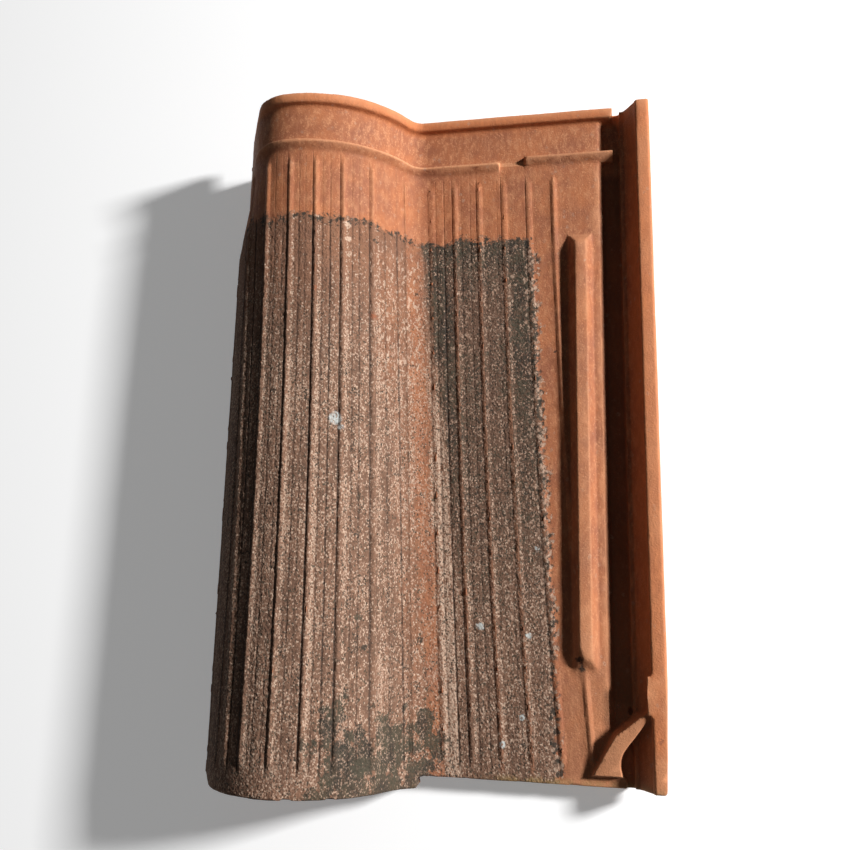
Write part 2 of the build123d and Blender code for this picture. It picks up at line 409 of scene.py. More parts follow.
def neighbour_mean(values, ends, counts):
    """Mean of each vertex's neighbours, for an array of one value or one row a vertex."""
    total = np.zeros_like(values)
    np.add.at(total, ends[:, 0], values[ends[:, 1]])
    np.add.at(total, ends[:, 1], values[ends[:, 0]])
    return total / (counts if values.ndim == 1 else counts[:, None])


def edge_sharpness(mesh, rounds):
    """How far each vertex stands out of its surroundings, in metres: below zero in hollows."""
    points, normals = read_vertices(mesh, "co"), read_vertices(mesh, "normal")
    ends = np.empty(len(mesh.edges) * 2, dtype=np.int32)
    mesh.edges.foreach_get("vertices", ends)
    ends = ends.reshape(-1, 2)
    counts = np.maximum(np.bincount(ends.ravel(), minlength=len(points)), 1).astype(float)
    mean = points
    for _ in range(rounds):
        mean = neighbour_mean(mean, ends, counts)
    sharpness = np.einsum("ij,ij->i", points - mean, normals)
    for _ in range(2):
        sharpness = neighbour_mean(sharpness, ends, counts)
    return sharpness


def weight_group(piece, name, weights, levels=48):
    """Makes a vertex group whose weights follow an array from 0 to 1."""
    group = piece.vertex_groups.new(name=name)
    steps = np.rint(np.clip(weights, 0, 1) * levels).astype(int)
    for step in range(1, levels + 1):
        chosen = np.nonzero(steps == step)[0]
        if len(chosen):
            group.add(chosen.tolist(), step / levels, "REPLACE")


def store_values(mesh, name, values):
    """Keeps one value a vertex for the materials to read."""
    attribute = mesh.attributes.new(name, "FLOAT", "POINT")
    attribute.data.foreach_set("value", values.astype(np.float32))


def left_of_next_tile(x, y, full):
    """One where the face is clear of the next tile to the right, and 0 under it."""
    return fade(x - SIDE_FADE_X + SIDE_LINE_LEAN * y, 4, full)


class ROOFTILE_OT_model_body(bpy.types.Operator):
    """Model the tile's body from its frame: chips, worn edges, fine lines and frost pits"""

    bl_idname = "roof_tile.model_body"
    bl_label = "Model Tile Body"

    # Chips broken out of the clay: middle on the drawing, and half width, length and height, in millimetres
    chips = (
        ((231.0, 70.0, 18.2), (2.4, 5.5, 2.6)),
        ((233.2, 65.0, 16.5), (2.2, 3.0, 2.4)),
        ((260.6, 42.3, 8.0), (1.8, 1.8, 3.0)),
        ((106.0, 424.0, 44.0), (2.6, 2.0, 2.2)),
        ((276.0, -0.5, 25.5), (4.5, 2.2, 1.5)),
        ((142.0, -0.6, 14.0), (7.0, 1.6, 2.5)),
        ((163.0, -0.6, 12.5), (5.0, 1.2, 2.0)),
        ((199.0, -0.6, 12.5), (9.0, 1.3, 2.2)),
        ((228.0, -0.6, 12.5), (4.0, 1.4, 2.0)),
        ((96.0, -6.6, 62.0), (5.0, 1.5, 2.0)),
        ((50.0, -6.8, 73.5), (6.0, 1.4, 1.6)),
        ((281.6, 118.0, 25.3), (1.4, 3.0, 1.6)),
        ((281.6, 300.0, 25.3), (1.2, 2.5, 1.4)),
        ((275.8, 28.0, 25.6), (1.8, 1.8, 0.9)),
        ((74.0, -7.0, 71.0), (4.0, 2.0, 3.0)),
        ((124.0, -6.8, 40.0), (5.0, 2.2, 3.0)),
    )

    def execute(self, context):
        settings = context.scene.tile_body
        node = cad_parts[TILE_NODE]
        tile = bpy.data.objects.new("clay_tile", node.data.copy())
        context.scene.collection.objects.link(tile)
        make_active(tile)
        bpy.ops.object.mode_set(mode="EDIT")
        bpy.ops.mesh.select_all(action="SELECT")
        bpy.ops.mesh.remove_doubles(threshold=0.005 * MM)
        bpy.ops.object.mode_set(mode="OBJECT")
        self.chip(tile)
        self.skin(tile, settings)
        self.wear(tile, settings)
        triangles = triangle_count(tile.data)
        if triangles > settings.triangle_limit:
            apply_modifier(tile, "DECIMATE", ratio=settings.triangle_limit / triangles)
        self.measure(tile)
        make_active(tile)
        bpy.ops.object.shade_smooth()
        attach(tile, "root")
        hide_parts(TILE_NODE)
        return {"FINISHED"}

    def chip(self, tile):
        """Breaks the chips out of the edges."""
        lumps = []
        for middle, halves in self.chips:
            deselect_all()
            bpy.ops.mesh.primitive_ico_sphere_add(
                subdivisions=3, radius=1, location=drawing_point(*middle), scale=Vector(halves) * MM
            )
            lumps.append(bpy.context.object)
        deselect_all()
        for lump in lumps:
            lump.select_set(True)
        bpy.context.view_layer.objects.active = lumps[0]
        bpy.ops.object.join()
        breaker = bpy.context.object
        bpy.ops.object.transform_apply(location=True, rotation=True, scale=True)
        breaks = cloud_texture("breaks", 1.6 * MM, 1.6)
        apply_modifier(
            breaker, "DISPLACE", texture=breaks, texture_coords="GLOBAL", strength=1.6 * MM, mid_level=0.5
        )
        apply_modifier(tile, "BOOLEAN", operation="DIFFERENCE", object=breaker, solver="EXACT")
        bpy.data.objects.remove(breaker)

    def skin(self, tile, settings):
        """Gives the tile one even skin whose faces are narrow across the ribs."""
        make_active(tile)
        stretch = settings.grain_stretch
        for share in (1 / stretch, stretch):
            bpy.ops.object.mode_set(mode="EDIT")
            bpy.ops.mesh.select_all(action="SELECT")
            bpy.ops.transform.resize(value=(1, share, 1), center_override=(0, 0, 0))
            bpy.ops.object.mode_set(mode="OBJECT")
            if share < 1:
                apply_modifier(tile, "REMESH", mode="VOXEL", voxel_size=settings.grain)

    def wear(self, tile, settings):
        """Wears the skin back: fine lines, rib feet, sharp edges and frost pits."""
        mesh = tile.data
        points, normals = read_vertices(mesh, "co"), read_vertices(mesh, "normal")
        place, x, y = rib_place(points)
        upward = fade(normals[:, 2], *FACE_TURN)
        face = upward * fade(y, 2, 12) * fade(y, 391, 384) * fade(place, LAST_RIB, LAST_RIB - 0.1)
        lean = np.clip(normals[:, 2], 0.4, 1)

        # Grooves are shallower on the pan and under the next tile up
        nearest = np.rint(place)
        offset = (place - nearest) * PITCH / lean
        on_pan = fade(place, 5.5, 6.5)
        depth = settings.rib_foot * bell(offset + FOOT_OFFSET, LINE_WIDTH) * (1 - 0.6 * on_pan)
        for line, share in FINE_LINES:
            distance = (place - line) * PITCH / lean
            depth += settings.combing * share * bell(distance, LINE_WIDTH)
        depth *= face * (1 - 0.8 * fade(y, 335, 350))
        crest = bell(offset, CREST_WIDTH) * face
        for rib, wear in WORN_RIBS:
            depth += (nearest == rib) * crest * wear * MM
        deepest = settings.rib_foot + settings.combing
        weight_group(tile, "die_lines", depth / deepest)

        sharpness = fade(edge_sharpness(mesh, 3) / MM, 0.12, 0.5)
        weight_group(tile, "sharp_edges", sharpness)
        exposed = face * fade(y, *HEAD_FADE) * left_of_next_tile(x, y, -6)
        weight_group(tile, "exposed_face", exposed)

        # The hollow behind the head lip and both ends of the inner rib are rounded
        cove = fade(y, 408, 414) * fade(y, 428.5, 426)
        rib_ends = fade(y, 308, 318) * fade(y, 342, 336) + fade(y, 52, 58) * fade(y, 82, 74)
        rib_ends *= fade(x, 216, 220) * fade(x, 252, 248)
        weight_group(tile, "soft_clay", (cove + rib_ends) * fade(normals[:, 2], -0.4, -0.1))
        apply_modifier(tile, "SMOOTH", vertex_group="soft_clay", factor=0.5, iterations=settings.soft_rounds)
        apply_modifier(tile, "DISPLACE", vertex_group="die_lines", strength=-deepest, mid_level=0.0)
        for group, texture, strength in (
            ("sharp_edges", cloud_texture("edge_nicks", 5 * MM, 2.2), settings.corner_wear),
            ("exposed_face", cloud_texture("frost_pits", 2.6 * MM, 2.4), settings.pitting),
            ("", cloud_texture("hand_feel", 16 * MM), settings.unevenness),
        ):
            relief = {"vertex_group": group, "texture": texture, "strength": strength}
            apply_modifier(tile, "DISPLACE", texture_coords="GLOBAL", mid_level=1.0, **relief)
        apply_modifier(tile, "DISPLACE", strength=-settings.face_wear, mid_level=0.0)

    def measure(self, tile):
        """Notes on each vertex what the materials need: its place among the ribs, edges and hollows."""
        mesh = tile.data
        place, x, y = rib_place(read_vertices(mesh, "co"))
        normals = read_vertices(mesh, "normal")
        sharpness = edge_sharpness(mesh, 3) / MM
        rained_on = fade(normals[:, 2], *FACE_TURN) * fade(y, *HEAD_FADE) * left_of_next_tile(x, y, -2)
        store_values(mesh, "rib_place", place)
        store_values(mesh, "rained_on", rained_on)
        store_values(mesh, "facing_up", fade(normals[:, 2], -0.3, 0.0))
        store_values(mesh, "worn_edge", fade(sharpness, 0.05, 0.35))
        store_values(mesh, "hollow", fade(-sharpness, 0.08, 0.5))


class Bench:
    """Places and joins nodes in one shader tree."""

    def __init__(self, tree):
        self.tree = tree

    def add(self, kind, **settings):
        """A new node of the given kind."""
        node = self.tree.nodes.new("ShaderNode" + kind)
        for name, value in settings.items():
            setattr(node, name, value)
        return node

    def feed(self, socket, value):
        """Joins a socket to another, or sets its own value."""
        if isinstance(value, bpy.types.NodeSocket):
            self.tree.links.new(value, socket)
        elif socket.type == "RGBA":
            socket.default_value = (*value[:3], 1)
        else:
            socket.default_value = value

    def math(self, operation, *values, clamp=False):
        """Result of one sum."""
        node = self.add("Math", operation=operation, use_clamp=clamp)
        for socket, value in zip(node.inputs, values):
            self.feed(socket, value)
        return node.outputs[0]

    def vector(self, operation, *values):
        """Result of one sum of places, or how far apart two places are."""
        node = self.add("VectorMath", operation=operation)
        for socket, value in zip(node.inputs, values):
            self.feed(socket, value)
        return node.outputs["Value" if operation == "DISTANCE" else "Vector"]

    def x_and_y(self, place):
        """X and Y of a place."""
        node = self.add("SeparateXYZ")
        self.feed(node.inputs[0], place)
        return node.outputs["X"], node.outputs["Y"]

    def product(self, *values, clamp=False):
        """Product of several values."""
        result = values[0]
        for value in values[1:]:
            result = self.math("MULTIPLY", result, value, clamp=clamp)
        return result

    def either(self, *values):
        """Highest of several values."""
        result = values[0]
        for value in values[1:]:
            result = self.math("MAXIMUM", result, value)
        return result

    def opposite(self, value, share=1.0):
        """One less a share of the value."""
        return self.math("SUBTRACT", 1.0, self.product(value, share), clamp=True)

    def step(self, value, low, high):
        """Smooth step from 0 at low to 1 at high."""
        node = self.add("MapRange", interpolation_type="SMOOTHSTEP")
        for name, number in (("Value", value), ("From Min", low), ("From Max", high)):
            self.feed(node.inputs[name], number)
        return node.outputs["Result"]

    def near(self, value, middle, reach, soft):
        """One within reach of the middle, fading out over the soft width."""
        distance = self.math("ABSOLUTE", self.math("SUBTRACT", value, middle))
        return self.step(distance, reach + soft, reach)

    def noise(self, place, size, stretch=1.0, detail=2.0, rough=0.5):
        """Soft noise with lumps of the given size, stretched along the ribs."""
        scaled = self.vector("MULTIPLY", place, (1 / size, 1 / (size * stretch), 1 / size))
        node = self.add("TexNoise")
        self.feed(node.inputs["Vector"], scaled)
        self.feed(node.inputs["Scale"], 1.0)
        self.feed(node.inputs["Detail"], detail)
        self.feed(node.inputs["Roughness"], rough)
        return node.outputs[0]

    def blend(self, share, first, second):
        """First colour where the share is 0, second where it is 1."""
        node = self.add("Mix", data_type="RGBA")
        self.feed(node.inputs[0], share)
        self.feed(node.inputs[6], first)
        self.feed(node.inputs[7], second)
        return node.outputs[2]

    def attribute(self, name):
        """A value noted on the mesh's vertices."""
        return self.add("Attribute", attribute_name=name).outputs["Fac"]

    def use(self, group, **inputs):
        """Outputs of a node group, with its inputs fed by name."""
        node = self.add("Group")
        node.node_tree = group
        for name, value in inputs.items():
            self.feed(node.inputs[name.replace("_", " ").title()], value)
        return node.outputs


def new_group(name, inputs, outputs):
    """An empty node group with named sockets, its bench, and its input and output nodes' sockets."""
    tree = bpy.data.node_groups.new(name, "ShaderNodeTree")
    for label, kind in inputs:
        tree.interface.new_socket(label, in_out="INPUT", socket_type="NodeSocket" + kind)
    for label in outputs:
        tree.interface.new_socket(label, in_out="OUTPUT", socket_type="NodeSocketFloat")
    bench = Bench(tree)
    entry = tree.nodes.new("NodeGroupInput")
    leave = tree.nodes.new("NodeGroupOutput")
    return tree, bench, entry.outputs, leave.inputs


def rib_lines_group():
    """Rib Lines: a rib's dark foot of dirt and painted shade, smooth top, pale shoulder of painted highlight,
    and the fine lines between.
    """
    tree, bench, given, result = new_group(
        "Rib Lines", (("Rib Place", "Float"), ("Place", "Vector")), ("Foot", "Top", "Shoulder", "Fine")
    )
    place = given["Rib Place"]
    y = bench.x_and_y(given["Place"])[1]
    on_ribs = bench.product(
        bench.step(place, LAST_RIB, LAST_RIB - 0.05), bench.step(y, 390.0, 384.0), bench.step(y, 2.0, 8.0)
    )
    wander = bench.noise(given["Place"], 3.0, 4.0)
    broken = bench.step(bench.noise(given["Place"], 2.2, 5.0, 2.0, 0.6), 0.34, 0.56)
    wandering = bench.math("ADD", place, bench.product(bench.math("SUBTRACT", wander, 0.5), 0.04))
    offset = bench.math("SUBTRACT", wandering, bench.math("ROUND", wandering))
    # Around ribs five and six, worn low and facing the key light, the painted shade and highlight fade out
    unworn = bench.product(bench.opposite(bench.near(place, 5.5, 0.72, 0.1), 0.9), on_ribs)
    # Foot: painted shade at each rib's left foot, away from the key light, where dirt also lies
    bench.feed(result["Foot"], bench.product(bench.near(offset, -0.13, 0.012, 0.022), unworn, 0.7))
    bench.feed(result["Top"], bench.product(bench.near(offset, -0.02, 0.045, 0.045), on_ribs))
    # Shoulder: painted highlight on each rib's right side, which faces the key light
    bench.feed(result["Shoulder"], bench.product(bench.near(offset, 0.14, 0.03, 0.045), unworn))
    # Fine lines: dirt and painted shade in the die's fine grooves
    fine = 0.0
    for line, share in FINE_LINES:
        mask = bench.near(wandering, line, 0.016, 0.026)
        fine = bench.math("MULTIPLY_ADD", mask, share, fine)
    strength = bench.math("MULTIPLY_ADD", broken, 0.5, 0.28)
    bench.feed(result["Fine"], bench.product(fine, on_ribs, strength))
    return tree


def weather_zones_group():
    """Weather Zones: where the face stood in the rain, and where each kind of growth settled."""
    names = ("Exposed", "Growth", "Thick", "Crust", "Streak", "Tint", "Bloom", "Flecks", "Rim", "Tail")
    tree, bench, given, result = new_group("Weather Zones", (("Place", "Vector"),), names)
    place = given["Place"]
    x, y = bench.x_and_y(place)
    broad = bench.math("SUBTRACT", bench.noise(place, 16.0, detail=2.0), 0.5)
    close = bench.math("SUBTRACT", bench.noise(place, 2.2, detail=2.0, rough=0.6), 0.5)
    wobble = bench.math("ADD", bench.product(broad, 16.0), bench.product(close, 11.0))

    # The next tile up covered the head, and the next tile to the right the side lock
    from_head = bench.math("SUBTRACT", bench.math("ADD", y, wobble), HEAD_LINE_Y)
    side_edge = bench.math("MULTIPLY_ADD", y, -SIDE_LINE_LEAN, SIDE_LINE_X)
    from_side = bench.math("SUBTRACT", bench.math("MULTIPLY_ADD", wobble, 0.6, x), side_edge)
    exposed = bench.product(bench.step(from_head, 2.5, -2.5), bench.step(from_side, 1.2, -1.2))
    bench.feed(result["Exposed"], exposed)

    # Streaks follow the ribs, which spread towards the tail
    across = bench.math("SUBTRACT", bench.math("MULTIPLY_ADD", y, 0.0684, x), 147.0)
    drift = bench.math("MULTIPLY_ADD", wobble, 0.5, across)
    bench.feed(result["Streak"], bench.product(bench.near(drift, 0.0, 2.5, 3.5), exposed))
    bench.feed(result["Tint"], bench.near(drift, -4.0, 6.0, 10.0))
    growth_edge = bench.math("SUBTRACT", drift, bench.math("MULTIPLY_ADD", y, -0.060, 25.5))
    growth = bench.product(bench.step(growth_edge, -2.0, 3.0), exposed)
    thick = bench.either(
        bench.near(growth_edge, 7.0, 5.0, 8.0),
        bench.near(from_side, -8.0, 5.0, 7.0),
        bench.step(y, 300.0, 335.0),
    )
    thick = bench.product(thick, bench.step(y, 40.0, 300.0))
    bench.feed(result["Growth"], growth)
    bench.feed(result["Thick"], bench.product(growth, thick))
    lower = bench.step(y, 290.0, 190.0)
    bench.feed(result["Bloom"], bench.product(bench.near(drift, 10.2, 3.6, 2.8), exposed, lower))
    upper = bench.product(bench.step(y, 205.0, 260.0), bench.step(y, 340.0, 322.0))
    bench.feed(result["Flecks"], bench.product(bench.near(drift, -9.0, 8.0, 9.0), upper))
    crust = bench.product(bench.near(from_side, -2.0, 3.6, 2.5), bench.step(from_head, 0.0, -6.0))
    bench.feed(result["Crust"], crust)

    # A dark rim lies along the edges of the next tiles
    head_line = bench.product(bench.near(from_head, -1.8, 2.2, 2.2), bench.near(x, 66.0, 28.0, 8.0))
    side_line = bench.near(from_side, 0.4, 2.4, 2.6)
    rim = bench.either(bench.near(from_head, -0.8, 1.2, 2.2), side_line, head_line)
    rim = bench.product(rim, bench.step(from_head, 3.0, 0.0), bench.step(from_side, 4.5, 1.0))
    bench.feed(result["Rim"], rim)
    bench.feed(result["Tail"], bench.product(bench.step(y, 78.0, 5.0), bench.near(x, 118.0, 22.0, 26.0)))
    return tree


def grains_group():
    """Grains: fine and coarse specks that cover a given share of the surface, each with its own tone."""
    inputs = (("Place", "Vector"), ("Cover", "Float"))
    tree, bench, given, result = new_group("Grains", inputs, ("Mask", "Coarse Mask", "Tone"))
    bare = bench.math("SUBTRACT", 1.0, given["Cover"])
    ragged = bench.add("TexNoise")
    bench.feed(ragged.inputs["Vector"], given["Place"])
    bench.feed(ragged.inputs["Scale"], 1.1)
    bench.feed(ragged.inputs["Detail"], 1.0)
    for name, size in GRAIN_SIZES:
        bent = bench.vector("MULTIPLY_ADD", ragged.outputs["Color"], (size, size, size), given["Place"])
        cells = bench.add("TexVoronoi")
        scaled = bench.vector("MULTIPLY", bent, (1 / size, 0.8 / size, 1 / size))
        bench.feed(cells.inputs["Vector"], scaled)
        bench.feed(cells.inputs["Scale"], 1.0)
        chance = bench.add("SeparateColor")
        bench.feed(chance.inputs[0], cells.outputs["Color"])
        chosen = bench.step(bench.math("SUBTRACT", chance.outputs["Red"], bare), -0.03, 0.03)
        bench.feed(result[name], bench.product(chosen, bench.step(cells.outputs["Distance"], 0.8, 0.5)))
        if name == "Mask":
            bench.feed(result["Tone"], chance.outputs["Green"])
    return tree


def clay_body_group():
    """Clay Body: blotches, streaks and grain of the fired clay, and their height."""
    outputs = ("Blotch", "Streak", "Speck", "Height")
    tree, bench, given, result = new_group("Clay Body", (("Place", "Vector"),), outputs)
    place = given["Place"]
    blotch = bench.noise(place, 18.0, 1.3, 4.0, 0.65)
    streak = bench.noise(place, 3.2, 2.6, 3.0, 0.65)
    grain = bench.noise(place, 1.1, 1.0, 2.0, 0.7)
    bench.feed(result["Blotch"], bench.step(blotch, 0.30, 0.70))
    bench.feed(result["Streak"], bench.step(streak, 0.42, 0.70))
    bench.feed(result["Speck"], bench.step(grain, 0.66, 0.74))
    bench.feed(result["Height"], bench.math("MULTIPLY_ADD", streak, 0.35, grain))
    return tree


class ROOFTILE_OT_finish_clay(bpy.types.Operator):
    """Give the tile its clay, soot and lichen, with painted shade and highlights"""

    bl_idname = "roof_tile.finish_clay"
    bl_label = "Finish Clay"

    # Single spots on the drawing: middle, radius in millimetres, and the colour setting they take
    spots = (
        ((87.5, 208.7), 4.6, "crust"),
        ((91.0, 203.5), 2.4, "crust"),
        ((87.8, 338.0), 2.6, "lichen"),
        ((88.8, 328.0), 2.2, "lichen"),
        ((89.8, 318.0), 2.0, "lichen"),
        ((201.6, 83.4), 2.2, "crust"),
        ((197.5, 36.0), 2.0, "crust"),
        ((206.5, 135.0), 2.0, "crust"),
        ((186.0, 20.0), 2.2, "crust"),
        ((172.0, 88.0), 2.6, "crust"),
        ((69.4, 341.5), 1.3, "lichen"),
        ((103.5, 331.0), 1.5, "soot"),
        ((126.9, 303.7), 1.6, "soot"),
        ((135.4, 79.0), 2.2, "soot"),
        ((142.0, 166.0), 2.6, "algae"),
        ((109.0, 74.0), 2.2, "soot"),
        ((105.0, 91.0), 2.4, "algae"),
        ((117.5, 34.0), 2.8, "algae"),
        ((99.0, 20.0), 4.5, "soot"),
        ((110.0, 9.0), 6.5, "algae"),
        ((119.0, -6.0), 5.0, "soot"),
        ((130.0, 19.0), 5.5, "algae"),
        ((141.0, -1.0), 5.0, "soot"),
        ((104.8, 278.8), 2.8, "fired"),
        ((70.9, 291.6), 1.8, "fired"),
        ((218.3, 261.6), 1.1, "crevice_dirt_and_shade"),
        ((275.8, 28.0), 1.9, "fired"),
        # These two spots darken the chips broken out of the inner rib's tail end
        ((231.5, 70.5), 3.0, "crevice_dirt_and_shade"),
        ((233.0, 65.5), 2.4, "soot"),
    )

    def execute(self, context):
        tile = bpy.data.objects["clay_tile"]
        colours = context.scene.clay
        self.groups = {
            "ribs": rib_lines_group(),
            "zones": weather_zones_group(),
            "grains": grains_group(),
            "body": clay_body_group(),
        }
        tile.data.materials.clear()
        tile.data.materials.append(self.face_material(colours))
        tile.data.materials.append(self.covered_material(colours))
        downward = np.empty(len(tile.data.polygons) * 3)
        tile.data.polygons.foreach_get("normal", downward)
        slots = (downward.reshape(-1, 3)[:, 2] < COVERED_BELOW).astype(np.int32)
        tile.data.polygons.foreach_set("material_index", slots)
        return {"FINISHED"}

    def new_material(self, name):
        """A material, its bench, its main shader and the place on the drawing in millimetres."""
        material = bpy.data.materials.new(name)
        material.use_nodes = True
        bench = Bench(material.node_tree)
        shader = material.node_tree.nodes["Principled BSDF"]
        mapping = bench.add("Mapping")
        bench.feed(mapping.inputs["Vector"], bench.add("TexCoord").outputs["Object"])
        bench.feed(mapping.inputs["Scale"], (1 / MM, 1 / MM, 1 / MM))
        bench.feed(mapping.inputs["Location"], (-DRAWING_X, -DRAWING_Y, 0))
        return material, bench, shader, mapping.outputs[0]

    def clay_colour(self, bench, body, colours):
        """Colour of clean fired clay with its blotches and streaks."""
        colour = bench.blend(body["Blotch"], colours.fired, colours.clean)
        colour = bench.blend(bench.product(body["Streak"], 0.45), colour, colours.pale)
        return bench.blend(bench.product(body["Speck"], 0.5), colour, colours.fired)

    def set_bump(self, bench, shader, height, distance):
        """Fine relief from a height that changes over the surface."""
        bump = bench.add("Bump")
        bench.feed(bump.inputs["Strength"], 0.8)
        bench.feed(bump.inputs["Distance"], distance)
        bench.feed(bump.inputs["Height"], height)
        bench.feed(shader.inputs["Normal"], bump.outputs[0])

    def face_material(self, colours):
        """Upper side: clean clay under the laps, and weathered clay where the rain fell."""
        material, bench, shader, place = self.new_material("weathered_clay")
        body = bench.use(self.groups["body"], place=place)
        zones = bench.use(self.groups["zones"], place=place)
        ribs = bench.use(self.groups["ribs"], rib_place=bench.attribute("rib_place"), place=place)
        up = bench.attribute("facing_up")
        x, y = bench.x_and_y(place)
        exposed = bench.product(zones["Exposed"], up)
        growth = zones["Growth"]
        smooth_top = bench.opposite(ribs["Top"], 0.45)
        unstreaked = bench.opposite(zones["Streak"], 0.35)

        # Rain washed the clay paler in patches and stripes, but not near the next tile up
        patchy = bench.noise(place, 8.0, 1.8, 3.0, 0.65)
        stripes = bench.noise(place, 1.5, 12.0, 2.0, 0.6)
        damp = bench.noise(place, 26.0, 2.0, 2.0, 0.6)
        bands = bench.noise(place, 5.0, 25.0, 2.0, 0.6)
        mixed = bench.math("MULTIPLY_ADD", stripes, 0.4, bench.math("MULTIPLY_ADD", bands, 0.7, patchy))
        mixed = bench.math("MULTIPLY_ADD", damp, 0.6, mixed)
        washed = bench.step(mixed, 1.08, 1.60)
        sheltered = bench.product(bench.step(y, 235.0, 340.0), bench.opposite(growth))
        dense = bench.product(growth, bench.step(y, 0.0, 250.0))

        # Pale grit and lichen grains, some cream and some the colour of the clay
        pale_cover = bench.math("MULTIPLY_ADD", washed, 0.38, 0.13)
        pale_cover = bench.either(pale_cover, bench.product(zones["Bloom"], 0.75))
        pale_cover = bench.product(pale_cover, bench.opposite(dense, 0.45), bench.opposite(sheltered, 0.9))
        # More pale grains on each rib's right shoulder, facing the key light: grit and a painted highlight
        grit_and_highlight = bench.product(ribs["Shoulder"], bench.opposite(growth, 0.6), bench.step(stripes, 0.30, 0.55))
        pale_cover = bench.math("MULTIPLY_ADD", grit_and_highlight, 0.5, pale_cover)
        pale = bench.use(self.groups["grains"], place=place, cover=bench.product(pale_cover, smooth_top))

        colour = self.clay_colour(bench, body, colours)
        ground = bench.math("MULTIPLY_ADD", pale["Tone"], 0.45, bench.product(washed, 0.65))
        ground = bench.product(ground, bench.opposite(dense, 0.7))
        ground = bench.math("MULTIPLY_ADD", zones["Bloom"], 0.9, ground)
        rained = bench.blend(ground, colours.weathered, colours.washed)
        tint = bench.either(zones["Tint"], bench.product(zones["Flecks"], 1.2), bench.product(sheltered, 0.9))
        rained = bench.blend(bench.product(tint, bench.opposite(growth, 0.9), 0.22), rained, colour)
        rained = bench.blend(bench.product(zones["Streak"], 0.42), rained, colour)
        rained = bench.blend(bench.product(zones["Bloom"], body["Streak"], 0.45), rained, colours.lichen)
        # Rib tops rubbed back to cleaner clay
        rubbed_and_highlight = bench.blend(bench.opposite(growth, 0.4), colour, colours.washed)
        top_share = bench.math("MULTIPLY_ADD", growth, 0.35, 0.3)
        rained = bench.blend(bench.product(ribs["Top"], top_share), rained, rubbed_and_highlight)

        # Black and green growth lies thick on the pan and in patches at the tail
        tail_patch = bench.noise(place, 11.0, 1.4, 4.0, 0.7)
        tail_growth = bench.step(bench.math("MULTIPLY_ADD", zones["Tail"], 0.34, tail_patch), 0.72, 0.78)
        spread_growth = bench.step(patchy, 0.55, 0.66)
        pan_growth = bench.either(zones["Thick"], bench.product(dense, bench.step(damp, 0.32, 0.6), 0.5))
        some_growth = bench.product(spread_growth, bench.opposite(sheltered), 0.5)
        face_growth = bench.product(bench.either(pan_growth, some_growth), unstreaked)
        growth_share = bench.either(tail_growth, face_growth)
        growth_share = bench.product(growth_share, bench.opposite(zones["Bloom"], 0.5))
        growth_colour = bench.blend(bench.step(patchy, 0.4, 0.6), colours.algae, colours.soot)
        moved = bench.vector("ADD", place, SECOND_LAYER)
        pit_cover = bench.math("MULTIPLY_ADD", growth_share, 0.50, 0.12)
        pit_cover = bench.math("MULTIPLY_ADD", tail_growth, 0.15, pit_cover)
        pits = bench.use(self.groups["grains"], place=moved, cover=pit_cover)
        film = bench.either(bench.product(tail_growth, 0.75), bench.product(growth_share, 0.35))
        film = bench.either(film, bench.product(pits["Coarse Mask"], growth_share, 0.8))
        rained = bench.blend(film, rained, growth_colour)
        dimmed = bench.product(pale["Tone"], bench.opposite(zones["Bloom"], 0.6), 0.75)
        dimmed = bench.either(dimmed, bench.product(dense, 0.5))
        pale_colour = bench.blend(dimmed, colours.lichen, colours.washed)
        pale_share = bench.product(pale["Mask"], unstreaked, bench.opposite(tail_growth, 0.35), 0.9)
        rained = bench.blend(pale_share, rained, pale_colour)
        pit_share = bench.product(pits["Mask"], bench.opposite(sheltered, 0.6), smooth_top, 0.85)
        rained = bench.blend(pit_share, rained, growth_colour)
        lumps = bench.step(bench.noise(place, 2.0, 2.0, 2.0, 0.6), 0.57, 0.63)
        rained = bench.blend(bench.product(zones["Flecks"], lumps, 0.64), rained, colours.lichen)

        # Head lock and rail: paler grains, and a painted highlight of brighter, more orange clay on the lip
        # and rail tops
        head = bench.step(y, 392.0, 398.0)
        head_cover = bench.math("MULTIPLY_ADD", bench.product(head, body["Streak"]), 0.45, 0.10)
        head_grains = bench.use(self.groups["grains"], place=place, cover=head_cover)
        colour = bench.blend(bench.product(head_grains["Mask"], up, 0.4), colour, colours.edge)
        colour = bench.blend(bench.product(pits["Mask"], 0.3), colour, colours.fired)
        crest = bench.product(bench.near(y, WEATHER_RIB_Y, 0.9, 0.9), bench.step(stripes, 0.36, 0.5))
        crest = bench.product(crest, bench.step(x, 208.0, 200.0), up, 0.75)
        colour = bench.blend(crest, colour, colours.edge)
        lip = bench.product(bench.step(y, *LIP_Y), up, 0.95)
        rail = bench.product(bench.step(x, *RAIL_X), up, 0.75)
        mottle = bench.math("MULTIPLY_ADD", body["Streak"], 0.35, 0.65)
        colour = bench.blend(bench.product(bench.either(lip, rail), mottle), colour, colours.rubbed_and_highlight)

        # Painted shade in the water channel, where the rail's shadow falls, and pale dust beside it at the
        # tail
        channel = bench.near(x, CHANNEL_X, CHANNEL_REACH, 2.5)
        channel = bench.product(channel, bench.near(y, 215.0, 165.0, 8.0), 0.65)
        colour = bench.blend(channel, colour, colours.channel)
        dust = bench.product(bench.step(y, 150.0, 40.0), bench.near(x, 243.0, 16.0, 8.0), up)
        colour = bench.blend(bench.product(dust, 0.3), colour, colours.pale)

